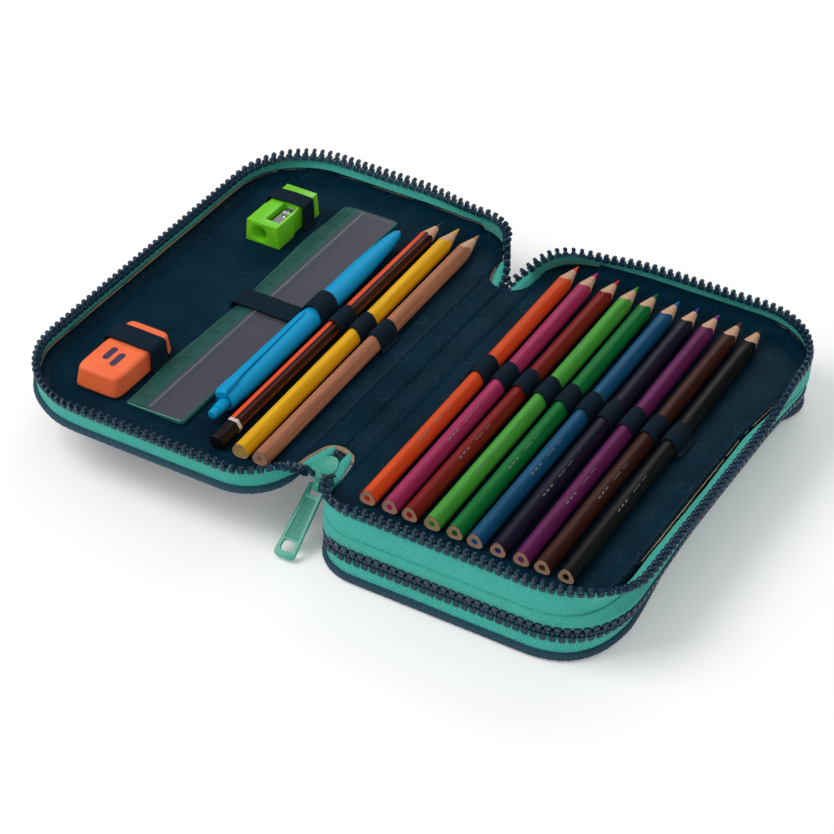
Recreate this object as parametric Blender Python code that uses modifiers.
"""Two-compartment zipped pencil case, upper lid laid open, with its school supplies.

The script works in millimetres and builds in metres, +Z up. X runs across the case
(lid at -X, tray at +X), Y along the pencils (blunt ends at -Y, points at +Y).
The origin is the centre of the flat underside of the lower shell.
"""

import math
from collections import namedtuple

import bmesh
import bpy
from mathutils import Matrix, Vector

MM = 0.001
GAP = 0.3              # clearance between stacked layers


def stack(bottom, *thicknesses):
    """(bottom, top) of each layer in a pile, with GAP between neighbours."""
    layers = []
    for thickness in thicknesses:
        layers.append((bottom, bottom + thickness))
        bottom += thickness + GAP
    return layers


# ---- plan ----------------------------------------------------------------------
WIDTH = 127.0          # of the zip line, across the case
LENGTH = 201.0         # of the zip line, along the pencils
R_FREE = 32.0          # plan radius of the two corners away from the spine
R_SPINE = 20.0         # plan radius of the two corners beside the spine
SPINE_HALF = 58.0      # half length of the straight fabric spine
CORNER_STEPS = 6       # facets in each rounded corner

# Insets from the zip line
INSET = 0.8            # tray layers and the bottom lining
SHELL_INSET = 1.4      # outer panels and their boards
LID_LINING_INSET = INSET + 0.5

WALL_T = 1.0           # zip tape wall thickness
TOOTH_W = 2.6          # width of a row of zip teeth
PIPING_R = 1.5         # radius of the corded piping
PIPING_OFFSET = 0.5    # piping stands this far outside the zip line
PIPING_SPINE_END = SPINE_HALF + 2    # where piping and zip end, beside the spine
ZIP_SPINE_END = SPINE_HALF + 1

# ---- heights -------------------------------------------------------------------
Z_BOTTOM, Z_BOTTOM_BOARD, Z_BOTTOM_LINING = stack(0.0, 0.9, 1.7, 0.6)
Z_PIPING = 1.65
Z_SHELL_TAPE, Z_SHELL_TEETH, Z_TRAY_TEETH, Z_TRAY_TAPE = stack(3.5, 3.6, 1.7, 1.7, 10.7)
Z_CEILING, Z_DECK_BOARD, Z_DECK_LINING = stack(20.5, 0.5, 2.2, 0.7)
Z_UP_TAPE, Z_UP_TEETH = stack(22.4, 8.6, 2.6)
Z_SPINE_OUTER, Z_SPINE_LINING = stack(22.0, 0.9, 1.0)
Z_LID_PANEL, Z_LID_BOARD, Z_LID_LINING = stack(21.9, 0.5, 0.8, 0.4)
Z_LID_PIPING = 23.2
Z_LID_TAPE, Z_LID_TEETH = stack(25.0, 6.0, 2.6)
TRAY_FLOOR = Z_DECK_LINING[1] + GAP
LID_FLOOR = Z_LID_LINING[1] + GAP

# ---- folds ---------------------------------------------------------------------
FOLD_OFFSET = 0.5                          # zip line stands this far inside fold A
FOLD_A_X = -WIDTH / 2 - FOLD_OFFSET        # between tray and upper spine
SPINE_W = 17.3                             # width of the upper spine between its folds
FOLD_B_X = FOLD_A_X - SPINE_W              # between upper spine and lid
FOLD_Z = 25.4                              # height of folds A and B
LOWER_SPINE_X = -64.4                      # outer face of the lower spine
FOLD_C_Z = 3.4                             # between lower shell and lower spine
FOLD_D_Z = 20.3                            # between lower spine and tray
ZIP_MID_X = FOLD_A_X - SPINE_W / 2         # the zip ends meet over the spine
LOWER_SPINE_T = 0.6                        # outer fabric of the lower spine
LOWER_SPINE_LINING = (0.9, 1.3)            # lining faces, measured in from the outer face
LOWER_LINING_RAISE = 0.6                   # lining starts this much above the outer fabric

# ---- elastic loops and straps --------------------------------------------------
LOOP_Y = 7.5           # middle of the elastic loops
LOOP_LEN = 13.0        # width of the webbing, along Y
LOOP_T = 0.6
LOOP_HALF = 3.95       # half width inside a pencil loop
LOOP_H = 7.4           # height inside a pencil loop
LOOP_POWER = 0.8       # below 1 squares an arch up
ARCH_STEPS = 8
TRAY_LEAD = 3.0        # flat ends of the tray band
LID_LEAD = 0.8

# ---- pencils -------------------------------------------------------------------
PENCIL_LEN = 176.0
PENCIL_R = 3.5
PENCIL_LOBE = 0.13     # how far the three soft corners stand out, as a share of the radius
PENCIL_SIDES = 12
PENCIL_TAIL_Y = -85.0
# Sections of a pencil: distance back from the point, radius, lobe
PENCIL_SECTIONS = (
    (PENCIL_LEN, PENCIL_R, PENCIL_LOBE), (19.0, PENCIL_R, PENCIL_LOBE),
    (15.5, 3.1, 0.0), (4.5, 1.05, 0.0), (0.0, 0.25, 0.0),
)
TRAY_FIRST_X = -48.4
TRAY_PITCH = 9.5
TRAY_YAW = 1.2         # degrees: the pencils lean a little to the spine
YAW_SWING = 0.25       # degrees of variation from pencil to pencil
YAW_PHASE = 2.1        # radians of that variation per pencil
# Tray pencils from -X to +X: name, colour
TRAY_PENCILS = (
    ("orange", (0.62, 0.075, 0.012)), ("pink", (0.38, 0.035, 0.09)),
    ("dark_red", (0.19, 0.012, 0.008)), ("light_green", (0.09, 0.36, 0.06)),
    ("green", (0.0, 0.17, 0.03)), ("blue", (0.004, 0.09, 0.18)),
    ("indigo", (0.012, 0.012, 0.03)), ("purple", (0.14, 0.015, 0.10)),
    ("brown", (0.062, 0.016, 0.010)), ("black", (0.012, 0.011, 0.010)),
)
# Lid pencils: name, x, colour, yaw in degrees
LID_PENCILS = (
    ("pencil_graphite", -115.8, (0.02, 0.016, 0.014), 0.7),
    ("pencil_yellow", -106.0, (0.78, 0.45, 0.0), 1.4),
    ("pencil_beige", -96.5, (0.45, 0.19, 0.11), 1.2),
)

# ---- pen -----------------------------------------------------------------------
PEN_R = 4.7
PEN_X = -126.3
PEN_LEN = 132.0
PEN_YAW = 1.2
PEN_TAIL_Y = -64.0
PEN_BUTTON_OUT = 9.6   # button stands this far out of the barrel
PEN_CLEAR = 0.4        # clearance inside the pen's loop
PEN_LOOP_POWER = 0.6
# Profiles: radius, distance from the -Y end of the part
PEN_BARREL = (
    (0.0, PEN_LEN), (2.0, PEN_LEN), (3.1, PEN_LEN - 7.0), (4.3, PEN_LEN - 17.0),
    (PEN_R, PEN_LEN - 34.0), (PEN_R, 24.0), (4.2, 12.0), (3.6, 0.0),
    (2.65, 0.0), (2.65, 6.0), (0.0, 6.0),
)
PEN_TIP = ((0.0, 6.5), (0.45, 6.5), (0.8, 3.0), (1.8, 0.0), (0.0, 0.0))
PEN_BUTTON = ((0.0, 13.0), (2.3, 13.0), (2.3, 1.0), (1.7, 0.0), (0.0, 0.0))

# ---- block-shaped supplies in the lid ------------------------------------------
Item = namedtuple("Item", "x_min x_max y_min y_max height")
RULER = Item(-161.8, -134.3, -80.0, 83.5, 2.0)
ERASER = Item(-187.0, -165.0, -81.0, -41.0, 9.6)
SHARPENER = Item(-185.5, -168.5, 41.5, 73.5, 10.5)
# Straps: name, item, clearance at the sides, clearance on top, sewn foot, y, width along Y
STRAPS = (
    ("ruler_strap", RULER, 0.5, 0.4, 1.2, 1.8, 11.5),
    ("eraser_strap", ERASER, 0.4, 0.3, 1.4, -52.5, 11.5),
    ("sharpener_strap", SHARPENER, 0.4, 0.3, 1.4, 64.0, 9.0),
)

# ---- zip chain, sliders and pull tabs ------------------------------------------
CHAIN_Z = (21.8, 24.2)  # below the fold, so the zip ends up outside when shut
CHAIN_HALF = 2.6
CHAIN_BEVEL = 0.5
FAR_CHAIN_Y = 70.0
SLIDER_Y = -70.5
LOW_SLIDER_X = -36.0
# In a slider's own frame x runs across the chain, y along it, z away from it
SLIDER_HALF_W = 5.2
SLIDER_HALF_LEN = 6.4
SLIDER_H = 4.4
SLIDER_BEVEL = 1.1
NECK_HALF_W = 1.5
NECK_Y = (-7.5, -4.4)
NECK_BOTTOM = 2.4
HINGE = (0.0, -7.7, 5.6)
RING_OUT = 2.0         # the slider's ring round the bar of the pull tab
RING_IN = 1.15
EYE_CUT_LEN = 8.0
TAB_LEN = 31.0
TAB_T = 1.2
TAB_DROP = 34.0        # degrees below level at which the upper tab hangs
LOW_TAB_TURN = -4.0    # degrees about Z
TAB_TOP = 0.6          # edge beyond the hinge axis
TAB_TOP_HALF = 3.6
TAB_FOOT_HALF = 4.6
TAB_FLANK_END = 3.0    # the widening flanks stop this far above the foot
TAB_FOOT_R = 2.2
SLOT_HALF = 2.2
SLOT_Y = (-3.8, -0.6)
WINDOW_R = 1.6
WINDOW_HALF = 1.2      # from the middle to the centre of each round end
WINDOW_UP = 4.6        # above the foot

# ---- scene ---------------------------------------------------------------------
for old in list(bpy.data.objects):
    bpy.data.objects.remove(old, do_unlink=True)

case = bpy.data.collections.new("pencil_case")
cutters = bpy.data.collections.new("cutters")
bpy.context.scene.collection.children.link(case)
bpy.context.scene.collection.children.link(cutters)


# ---- materials -----------------------------------------------------------------
def material(name, rgb, rough, metal=0.0, alpha=1.0):
    mat = bpy.data.materials.new(name)
    mat.use_nodes = True
    inputs = mat.node_tree.nodes["Principled BSDF"].inputs
    inputs["Base Color"].default_value = (*rgb, 1.0)
    inputs["Roughness"].default_value = rough
    inputs["Metallic"].default_value = metal
    inputs["Alpha"].default_value = alpha
    mat.diffuse_color = (*rgb, alpha)
    return mat


fabric = material("navy_fabric", rgb=(0.012, 0.045, 0.085), rough=0.85)
lining = material("navy_lining", rgb=(0.010, 0.035, 0.065), rough=0.55)
board = material("stiffener_board", rgb=(0.35, 0.22, 0.14), rough=0.9)
tape = material("teal_tape", rgb=(0.06, 0.46, 0.34), rough=0.8)
teeth = material("navy_zip_teeth", rgb=(0.02, 0.05, 0.10), rough=0.35)
elastic = material("navy_elastic", rgb=(0.010, 0.030, 0.060), rough=0.8)
enamel = material("teal_enamel", rgb=(0.07, 0.45, 0.32), rough=0.35)
pen_blue = material("pen_blue", rgb=(0.004, 0.31, 0.66), rough=0.3)
tip_metal = material("pen_tip_metal", rgb=(0.7, 0.7, 0.7), rough=0.25, metal=1.0)
acrylic = material("clear_acrylic", rgb=(0.35, 0.55, 0.52), rough=0.08, alpha=0.35)
rubber = material("eraser_rubber", rgb=(1.0, 0.16, 0.05), rough=0.7)
sharpener_green = material("sharpener_green", rgb=(0.15, 0.60, 0.01), rough=0.3)
steel = material("blade_steel", rgb=(0.55, 0.56, 0.57), rough=0.25, metal=1.0)


# ---- object handling -----------------------------------------------------------
def move_to(obj, collection):
    for user in list(obj.users_collection):
        user.objects.unlink(obj)
    collection.objects.link(obj)


def attach(obj, parent):
    """Parent an object without moving it."""
    obj.parent = parent
    obj.matrix_parent_inverse = parent.matrix_world.inverted()


def finish(obj, mat, parent=None):
    move_to(obj, case)
    obj.data.materials.clear()
    obj.data.materials.append(mat)
    if parent is not None:
        attach(obj, parent)
    bpy.context.view_layer.update()
    return obj


def place(obj, matrix):
    obj.matrix_world = matrix
    bpy.context.view_layer.update()


def pivot(name, x, y, z, parent=None):
    """Empty standing on a joint's axis; the pieces that turn with it are its children."""
    empty = bpy.data.objects.new(name, None)
    case.objects.link(empty)
    empty.location = (x * MM, y * MM, z * MM)
    bpy.context.view_layer.update()
    if parent is not None:
        attach(empty, parent)
        bpy.context.view_layer.update()
    return empty


def mesh_object(name, bm):
    """Object holding the bmesh, which is freed."""
    mesh = bpy.data.meshes.new(name)
    bm.to_mesh(mesh)
    bm.free()
    return bpy.data.objects.new(name, mesh)


def cut(obj, cutter, operation="DIFFERENCE"):
    """Boolean with a helper object, which is hidden from renders."""
    move_to(cutter, cutters)
    cutter.hide_render = True
    cutter.display_type = "WIRE"
    mod = obj.modifiers.new("cut_" + cutter.name, "BOOLEAN")
    mod.operation = operation
    mod.solver = "EXACT"
    mod.object = cutter


# ---- outlines ------------------------------------------------------------------
def arc(centre_x, centre_y, radius, start, end, steps=CORNER_STEPS):
    """Points along an arc, angles in degrees."""
    angles = [math.radians(start + (end - start) * i / steps) for i in range(steps + 1)]
    return [(centre_x + radius * math.cos(angle), centre_y + radius * math.sin(angle))
            for angle in angles]


def zip_line(offset=0.0, spine_end=None):
    """U from the -Y spine corner, round the free side, to the +Y spine corner, offset
    outward. With spine_end, both ends run on along the spine to that distance from y = 0."""
    x_spine = -WIDTH / 2 - offset
    x_free = WIDTH / 2 + offset
    y_end = LENGTH / 2 + offset
    r_spine = R_SPINE + offset
    r_free = R_FREE + offset
    line = (arc(x_spine + r_spine, -y_end + r_spine, r_spine, 180, 270)
            + arc(x_free - r_free, -y_end + r_free, r_free, 270, 360)
            + arc(x_free - r_free, y_end - r_free, r_free, 0, 90)
            + arc(x_spine + r_spine, y_end - r_spine, r_spine, 90, 180))
    if spine_end is not None:
        line = [(x_spine, -spine_end)] + line + [(x_spine, spine_end)]
    return line


def panel_outline(inset):
    """Plan of a panel, inset from the zip line; the plate closes it along the spine."""
    return zip_line(-inset)


def mirrored(points):
    """The lid's outline is the tray's, reflected about the middle of the spine."""
    return [(2 * ZIP_MID_X - x, y) for x, y in points]


def arches(spans, floor, lead):
    """Elastic band in XZ that rises over each item and is stitched down between them.
    spans, in order of x, holds (centre, half width inside, height inside, power)."""
    first, last = spans[0], spans[-1]
    start = first[0] - first[1] - lead
    end = last[0] + last[1] + lead
    inner = [(start, floor)]
    outer = [(start, floor + LOOP_T)]
    for centre, half, height, power in spans:
        for i in range(ARCH_STEPS + 1):
            angle = math.pi - math.pi * i / ARCH_STEPS
            cosine = math.cos(angle)
            # Exact zeros at the crown and the feet
            across = up = 0.0
            if i != ARCH_STEPS // 2:
                across = math.copysign(abs(cosine) ** power, cosine)
            if 0 < i < ARCH_STEPS:
                up = abs(math.sin(angle)) ** power
            inner.append((centre + half * across, floor + height * up))
            outer.append((centre + (half + LOOP_T) * across,
                          floor + max((height + LOOP_T) * up, LOOP_T)))
    inner.append((end, floor))
    outer.append((end, floor + LOOP_T))
    return inner + outer[::-1]


def strap(left, right, floor, height, foot):
    """Flat strap in XZ over a block-shaped item, stitched down at both ends."""
    top = floor + height
    sewn = floor + LOOP_T
    return [
        (left - foot, floor), (left, floor), (left, top), (right, top),
        (right, floor), (right + foot, floor), (right + foot, sewn), (right + LOOP_T, sewn),
        (right + LOOP_T, top + LOOP_T), (left - LOOP_T, top + LOOP_T), (left - LOOP_T, sewn),
        (left - foot, sewn),
    ]


# ---- builders ------------------------------------------------------------------
def plate(name, outline, z, mat, parent=None, holes=()):
    """Flat panel: a filled 2D outline given thickness."""
    curve = bpy.data.curves.new(name, "CURVE")
    curve.dimensions = "2D"
    curve.fill_mode = "BOTH"
    curve.extrude = (z[1] - z[0]) / 2 * MM
    for points in (outline, *holes):
        spline = curve.splines.new("POLY")
        spline.points.add(len(points) - 1)
        for point, (x, y) in zip(spline.points, points):
            point.co = (x * MM, y * MM, 0, 1)
        spline.use_cyclic_u = True
    obj = bpy.data.objects.new(name, curve)
    obj.location.z = (z[0] + z[1]) / 2 * MM
    return finish(obj, mat, parent)


def band(name, outline_xz, y, width, parent):
    """Elastic: a filled outline in the XZ plane, as long along Y as the webbing is wide."""
    obj = plate(name, outline_xz, (-width / 2, width / 2), elastic)
    obj.rotation_euler = (math.pi / 2, 0, 0)
    obj.location = (0, y * MM, 0)
    attach(obj, parent)
    bpy.context.view_layer.update()


def wall(name, line, z, thickness, mat, parent=None):
    """Standing band of tape or teeth: a surface along the line, thickened to both sides."""
    bm = bmesh.new()
    low = [bm.verts.new((x * MM, y * MM, z[0] * MM)) for x, y in line]
    edges = [bm.edges.new(pair) for pair in zip(low[:-1], low[1:])]
    made = bmesh.ops.extrude_edge_only(bm, edges=edges)
    top = [v for v in made["geom"] if isinstance(v, bmesh.types.BMVert)]
    bmesh.ops.translate(bm, verts=top, vec=(0, 0, (z[1] - z[0]) * MM))
    bmesh.ops.recalc_face_normals(bm, faces=bm.faces)
    obj = mesh_object(name, bm)
    solid = obj.modifiers.new("thickness", "SOLIDIFY")
    solid.thickness = thickness * MM
    solid.offset = 0.0
    solid.use_even_offset = True
    return finish(obj, mat, parent)


def piping(name, line, z, parent=None):
    """Corded piping: a bevelled curve with filled caps."""
    curve = bpy.data.curves.new(name, "CURVE")
    curve.dimensions = "3D"
    curve.bevel_depth = PIPING_R * MM
    curve.bevel_resolution = 1
    curve.use_fill_caps = True
    spline = curve.splines.new("POLY")
    spline.points.add(len(line) - 1)
    for point, (x, y) in zip(spline.points, line):
        point.co = (x * MM, y * MM, z * MM, 1)
    return finish(bpy.data.objects.new(name, curve), fabric, parent)


def cuboid(name, size, centre):
    """Plain block, left without material or parent."""
    bpy.ops.mesh.primitive_cube_add(size=1)
    obj = bpy.context.object
    obj.name = name
    obj.data.name = name
    obj.data.transform(Matrix.Diagonal((*[side * MM for side in size], 1)))
    obj.location = [c * MM for c in centre]
    return obj


def block(name, low, high, mat, parent=None, bevel=0.0, segments=2):
    """Block between two corners, with rounded edges if bevel is given."""
    size = [b - a for a, b in zip(low, high)]
    obj = cuboid(name, size, [(a + b) / 2 for a, b in zip(low, high)])
    if bevel:
        mod = obj.modifiers.new("edges", "BEVEL")
        mod.width = bevel * MM
        mod.segments = segments
        mod.limit_method = "ANGLE"
    return finish(obj, mat, parent)


def rod(name, centre, radius, length, axis, mat, vertices, parent=None):
    """Cylinder along X or Z."""
    bpy.ops.mesh.primitive_cylinder_add(
        radius=radius * MM, depth=length * MM, vertices=vertices)
    obj = bpy.context.object
    obj.name = name
    obj.data.name = name
    obj.rotation_euler = {"X": (0, math.pi / 2, 0), "Z": (0, 0, 0)}[axis]
    obj.location = [c * MM for c in centre]
    obj.data.shade_smooth()
    obj.data.set_sharp_from_angle(angle=math.radians(40))
    return finish(obj, mat, parent)


def lying(x, tail_y, z, yaw):
    """Frame of an item lying along Y from tail_y, turned about the middle of its loop."""
    return (Matrix.Translation((x * MM, LOOP_Y * MM, z * MM))
            @ Matrix.Rotation(math.radians(yaw), 4, "Z")
            @ Matrix.Translation((0, (tail_y - LOOP_Y) * MM, 0)))


def pen_part(name, profile, tail_y, mat, steps):
    """Turned part of the pen: a profile swept round the pen's axis."""
    bm = bmesh.new()
    verts = [bm.verts.new((radius * MM, 0, distance * MM)) for radius, distance in profile]
    for pair in zip(verts[:-1], verts[1:]):
        bm.edges.new(pair)
    obj = mesh_object(name, bm)
    mod = obj.modifiers.new("turn", "SCREW")
    mod.steps = steps
    mod.render_steps = steps
    mod.use_merge_vertices = True
    mod.merge_threshold = 0.00001
    mod.use_smooth_shade = True
    obj.matrix_world = (lying(PEN_X, tail_y, LID_FLOOR + PEN_R, PEN_YAW)
                        @ Matrix.Rotation(-math.pi / 2, 4, "X"))
    finish(obj, mat, fold_b)


def pencil_ring(radius, lobe):
    """Cross-section in XZ; a lobe gives three soft corners, with one flat side down."""
    ring = []
    for i in range(PENCIL_SIDES):
        turn = 2 * math.pi * i / PENCIL_SIDES
        reach = radius * (1 + lobe * math.cos(3 * turn))
        angle = turn + math.pi / 2
        ring.append((reach * math.cos(angle), reach * math.sin(angle)))
    return ring


def pencil(name, x, floor, mat, yaw, parent):
    """Sharpened pencil: a loft from the three-sided body through a round cone to the point."""
    bm = bmesh.new()
    loops = []
    for from_point, radius, lobe in PENCIL_SECTIONS:
        y = PENCIL_LEN - from_point
        loops.append([bm.verts.new((across * MM, y * MM, up * MM))
                      for across, up in pencil_ring(radius, lobe)])
    for near, far in zip(loops[:-1], loops[1:]):
        for i in range(PENCIL_SIDES):
            j = (i + 1) % PENCIL_SIDES
            bm.faces.new((near[i], near[j], far[j], far[i]))
    bm.faces.new(loops[0])
    bm.faces.new(loops[-1])
    bmesh.ops.recalc_face_normals(bm, faces=bm.faces)
    obj = mesh_object(name, bm)
    obj.matrix_world = lying(x, PENCIL_TAIL_Y, floor + PENCIL_R * (1 - PENCIL_LOBE), yaw)
    obj.data.shade_smooth()
    obj.data.set_sharp_from_angle(angle=math.radians(35))
    finish(obj, mat, parent)


# ---- lower shell (rests on the table) ------------------------------------------
shell_zip = zip_line(0, ZIP_SPINE_END)
plate("bottom_panel", panel_outline(SHELL_INSET), Z_BOTTOM, fabric)
plate("bottom_board", panel_outline(SHELL_INSET), Z_BOTTOM_BOARD, board)
plate("bottom_lining", panel_outline(INSET), Z_BOTTOM_LINING, lining)
piping("bottom_piping", zip_line(PIPING_OFFSET, PIPING_SPINE_END), Z_PIPING)
wall("lower_tape_shell", shell_zip, Z_SHELL_TAPE, WALL_T, tape)
wall("lower_teeth_shell", shell_zip, Z_SHELL_TEETH, TOOTH_W, teeth)

# ---- lower spine ---------------------------------------------------------------
fold_c = pivot("fold_c", LOWER_SPINE_X, 0, FOLD_C_Z)
block("lower_spine_outer", (LOWER_SPINE_X, -SPINE_HALF, FOLD_C_Z + GAP),
      (LOWER_SPINE_X + LOWER_SPINE_T, SPINE_HALF, FOLD_D_Z - GAP), fabric, fold_c)
block("lower_spine_lining",
      (LOWER_SPINE_X + LOWER_SPINE_LINING[0], -SPINE_HALF, FOLD_C_Z + GAP + LOWER_LINING_RAISE),
      (LOWER_SPINE_X + LOWER_SPINE_LINING[1], SPINE_HALF, FOLD_D_Z - GAP), lining, fold_c)

# ---- tray (the middle leaf) ----------------------------------------------------
fold_d = pivot("fold_d", LOWER_SPINE_X, 0, FOLD_D_Z, fold_c)
wall("lower_teeth_tray", shell_zip, Z_TRAY_TEETH, TOOTH_W, teeth, fold_d)
wall("lower_tape_tray", shell_zip, Z_TRAY_TAPE, WALL_T, tape, fold_d)
plate("tray_ceiling_lining", panel_outline(INSET), Z_CEILING, lining, fold_d)
plate("tray_board", panel_outline(INSET), Z_DECK_BOARD, board, fold_d)
plate("tray_lining", panel_outline(INSET), Z_DECK_LINING, lining, fold_d)
wall("upper_tape_tray", zip_line(), Z_UP_TAPE, WALL_T, tape, fold_d)
wall("upper_teeth_tray", zip_line(), Z_UP_TEETH, TOOTH_W, teeth, fold_d)

tray_spans = []
for i, (colour, rgb) in enumerate(TRAY_PENCILS):
    x = TRAY_FIRST_X + TRAY_PITCH * i
    yaw = TRAY_YAW + YAW_SWING * math.sin(YAW_PHASE * i)
    paint = material("paint_" + colour, rgb=rgb, rough=0.3)
    pencil("pencil_" + colour, x, TRAY_FLOOR, paint, yaw, fold_d)
    tray_spans.append((x, LOOP_HALF, LOOP_H, LOOP_POWER))
band("tray_loops", arches(tray_spans, TRAY_FLOOR, TRAY_LEAD), LOOP_Y, LOOP_LEN, fold_d)

# ---- upper spine, with the two short lengths of zip that stay closed -----------
fold_a = pivot("fold_a", FOLD_A_X, 0, FOLD_Z, fold_d)
for name, z, mat in (("upper_spine_outer", Z_SPINE_OUTER, fabric),
                     ("upper_spine_lining", Z_SPINE_LINING, lining)):
    block(name, (FOLD_B_X + GAP, -SPINE_HALF, z[0]), (FOLD_A_X - GAP, SPINE_HALF, z[1]),
          mat, fold_a)
for name, y_min, y_max in (
        ("upper_chain_near", SLIDER_Y + SLIDER_HALF_LEN + GAP, -SPINE_HALF - GAP),
        ("upper_chain_far", SPINE_HALF + GAP, FAR_CHAIN_Y)):
    block(name, (ZIP_MID_X - CHAIN_HALF, y_min, CHAIN_Z[0]),
          (ZIP_MID_X + CHAIN_HALF, y_max, CHAIN_Z[1]), teeth, fold_a, CHAIN_BEVEL)

# ---- lid -----------------------------------------------------------------------
fold_b = pivot("fold_b", FOLD_B_X, 0, FOLD_Z, fold_a)
plate("lid_panel", mirrored(panel_outline(SHELL_INSET)), Z_LID_PANEL, fabric, fold_b)
plate("lid_board", mirrored(panel_outline(SHELL_INSET)), Z_LID_BOARD, board, fold_b)
plate("lid_lining", mirrored(panel_outline(LID_LINING_INSET)), Z_LID_LINING, lining, fold_b)
piping("lid_piping", mirrored(zip_line(PIPING_OFFSET)), Z_LID_PIPING, fold_b)
wall("lid_tape", mirrored(zip_line()), Z_LID_TAPE, WALL_T, tape, fold_b)
wall("lid_teeth", mirrored(zip_line()), Z_LID_TEETH, TOOTH_W, teeth, fold_b)

# ---- lid contents --------------------------------------------------------------
lid_spans = [(PEN_X, PEN_R + PEN_CLEAR, 2 * PEN_R + PEN_CLEAR, PEN_LOOP_POWER)]
for name, x, rgb, yaw in LID_PENCILS:
    paint = material("paint_" + name, rgb=rgb, rough=0.35)
    pencil(name, x, LID_FLOOR, paint, yaw, fold_b)
    lid_spans.append((x, LOOP_HALF, LOOP_H, LOOP_POWER))
band("lid_loops", arches(lid_spans, LID_FLOOR, LID_LEAD), LOOP_Y, LOOP_LEN, fold_b)

for name, item, side, above, foot, y, width in STRAPS:
    outline = strap(item.x_min - side, item.x_max + side, LID_FLOOR, item.height + above, foot)
    band(name, outline, y, width, fold_b)

pen_part("pen_barrel", PEN_BARREL, PEN_TAIL_Y, pen_blue, steps=20)
pen_part("pen_tip", PEN_TIP, PEN_TAIL_Y + PEN_LEN + GAP, tip_metal, steps=14)
pen_part("pen_button", PEN_BUTTON, PEN_TAIL_Y - PEN_BUTTON_OUT, pen_blue, steps=14)

plate("ruler", [(RULER.x_min, RULER.y_min), (RULER.x_max, RULER.y_min),
                (RULER.x_max, RULER.y_max), (RULER.x_min, RULER.y_max)],
      (LID_FLOOR, LID_FLOOR + RULER.height), acrylic, fold_b)


def item_block(name, item, mat, bevel, segments):
    return block(name, (item.x_min, item.y_min, LID_FLOOR),
                 (item.x_max, item.y_max, LID_FLOOR + item.height),
                 mat, fold_b, bevel, segments)


item_block("eraser", ERASER, rubber, bevel=2.2, segments=3)


def sharpener():
    """Body with a conical hole from its -Y end and a sunk seat for blade and screw."""
    hole_depth = 26.0
    hole_overshoot = 0.5   # the cone starts this far outside the body
    hole_up = 4.9          # axis above the lid floor
    seat_size = (9.6, 18.0, 3.0)
    seat_y = 12.0          # middle of the seat from the -Y end
    seat_depth = 1.4
    blade_half = 4.2
    blade_y = (4.0, 20.5)  # from the -Y end
    blade_t = 0.5
    screw_y = 15.0
    screw_r = 1.7
    screw_t = 0.6

    x_mid = (SHARPENER.x_min + SHARPENER.x_max) / 2
    y_end = SHARPENER.y_min
    seat_z = LID_FLOOR + SHARPENER.height - seat_depth
    body = item_block("sharpener_body", SHARPENER, sharpener_green, bevel=0.8, segments=2)

    bpy.ops.mesh.primitive_cone_add(
        radius1=3.9 * MM, radius2=1.2 * MM, depth=hole_depth * MM, vertices=20)
    cone = bpy.context.object
    cone.name = "sharpener_hole"
    cone.rotation_euler = (-math.pi / 2, 0, 0)
    cone_y = y_end + hole_depth / 2 - hole_overshoot
    cone.location = (x_mid * MM, cone_y * MM, (LID_FLOOR + hole_up) * MM)
    cut(body, cone)
    cut(body, cuboid("sharpener_seat", seat_size,
                     (x_mid, y_end + seat_y, seat_z + seat_size[2] / 2)))

    blade_z = seat_z + GAP
    block("sharpener_blade", (x_mid - blade_half, y_end + blade_y[0], blade_z),
          (x_mid + blade_half, y_end + blade_y[1], blade_z + blade_t), steel, fold_b)
    screw_z = blade_z + blade_t + GAP + screw_t / 2
    rod("sharpener_screw", (x_mid, y_end + screw_y, screw_z), screw_r, screw_t, "Z", steel,
        vertices=12, parent=fold_b)


sharpener()


# ---- zip sliders and pull tabs -------------------------------------------------
def pull_tab(name, matrix):
    """Widening plate with a slot for the slider's ring, a round-cornered foot and an
    oval window; its own origin is on the hinge axis."""
    foot_x = TAB_FOOT_HALF - TAB_FOOT_R
    foot_y = -TAB_LEN + TAB_FOOT_R
    flank_y = -TAB_LEN + TAB_FLANK_END
    window_y = -TAB_LEN + WINDOW_UP
    outline = ([(-TAB_TOP_HALF, TAB_TOP), (TAB_TOP_HALF, TAB_TOP), (TAB_FOOT_HALF, flank_y)]
               + arc(foot_x, foot_y, TAB_FOOT_R, 0, -90, 3)
               + arc(-foot_x, foot_y, TAB_FOOT_R, -90, -180, 3)
               + [(-TAB_FOOT_HALF, flank_y)])
    slot = [(-SLOT_HALF, SLOT_Y[0]), (SLOT_HALF, SLOT_Y[0]),
            (SLOT_HALF, SLOT_Y[1]), (-SLOT_HALF, SLOT_Y[1])]
    window = (arc(-WINDOW_HALF, window_y, WINDOW_R, 90, 270, 4)
              + arc(WINDOW_HALF, window_y, WINDOW_R, -90, 90, 4))
    tab = plate(name, outline, (-TAB_T / 2, TAB_T / 2), enamel, holes=(slot, window))
    place(tab, matrix)
    return tab


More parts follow.
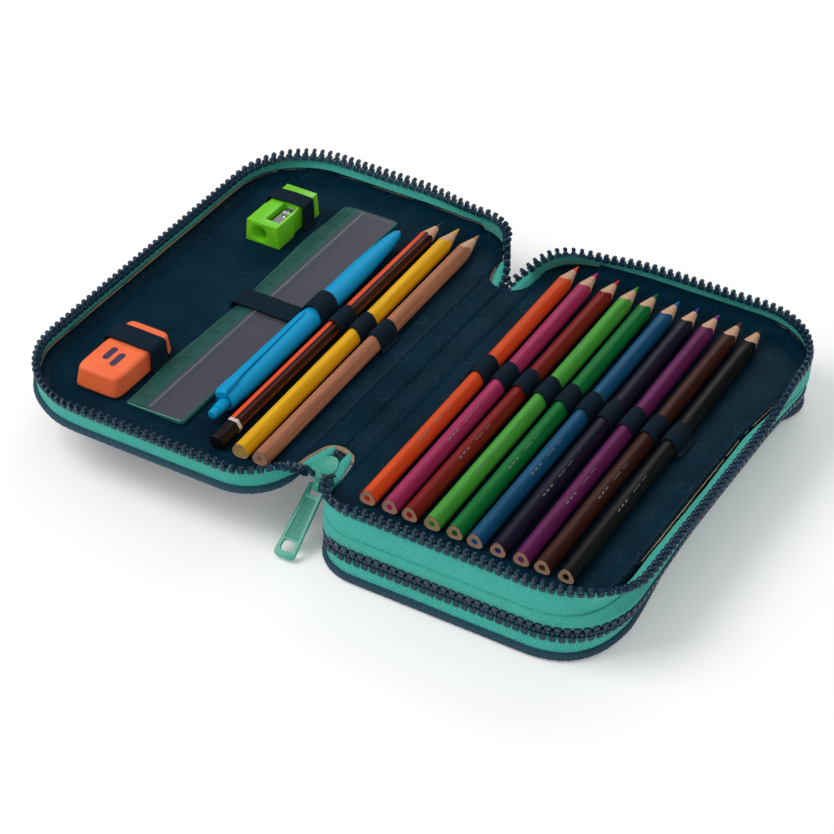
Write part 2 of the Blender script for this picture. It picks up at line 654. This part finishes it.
def slider(name, back, travel, out):
    """Slider body with the ring that holds its pull tab. back is the middle of its back
    face, travel the way along the chain, out the way away from the chain.
    Returns the body, the hinge point in metres and the slider's rotation."""
    along, away = Vector(travel), Vector(out)
    frame = Matrix((along.cross(away), along, away)).transposed().to_4x4()
    placing = Matrix.Translation(Vector(back) * MM) @ frame
    body = block(name, (-SLIDER_HALF_W, -SLIDER_HALF_LEN, 0.0),
                 (SLIDER_HALF_W, SLIDER_HALF_LEN, SLIDER_H), enamel, bevel=SLIDER_BEVEL)
    neck = block(name + "_neck", (-NECK_HALF_W, NECK_Y[0], NECK_BOTTOM),
                 (NECK_HALF_W, NECK_Y[1], SLIDER_H), enamel)
    ring = rod(name + "_ring", HINGE, RING_OUT, 2 * NECK_HALF_W, "X", enamel, vertices=16)
    eye = rod(name + "_eye", HINGE, RING_IN, EYE_CUT_LEN, "X", enamel, vertices=16)
    cut(body, neck, "UNION")
    cut(body, ring, "UNION")
    cut(body, eye)
    for piece in (body, neck, ring, eye):
        place(piece, placing @ piece.matrix_world)
    return body, placing @ (Vector(HINGE) * MM), frame


# Upper slider: under the closed zip at the -Y end of the spine
upper_at = (ZIP_MID_X, SLIDER_Y, CHAIN_Z[1])
slider_pivot = pivot("upper_slider_pivot", *upper_at, fold_a)
upper, hinge, _ = slider("upper_slider", upper_at, travel=(0, 1, 0), out=(0, 0, -1))
attach(upper, slider_pivot)
tab_pivot = pivot("upper_tab_pivot", *(hinge / MM), slider_pivot)
upper_tab = pull_tab("upper_pull_tab", Matrix.Translation(hinge)
                     @ Matrix.Rotation(math.radians(TAB_DROP), 4, "X"))
attach(upper_tab, tab_pivot)

# Lower slider: on the +Y side of the lower zip
lower_at = (LOW_SLIDER_X, LENGTH / 2 + TOOTH_W / 2 + GAP,
            (Z_SHELL_TEETH[0] + Z_TRAY_TEETH[1]) / 2)
_, hinge, frame = slider("lower_slider", lower_at, travel=(1, 0, 0), out=(0, 1, 0))
pull_tab("lower_pull_tab", Matrix.Translation(hinge)
         @ Matrix.Rotation(math.radians(LOW_TAB_TURN), 4, "Z") @ frame)
bpy.context.view_layer.update()
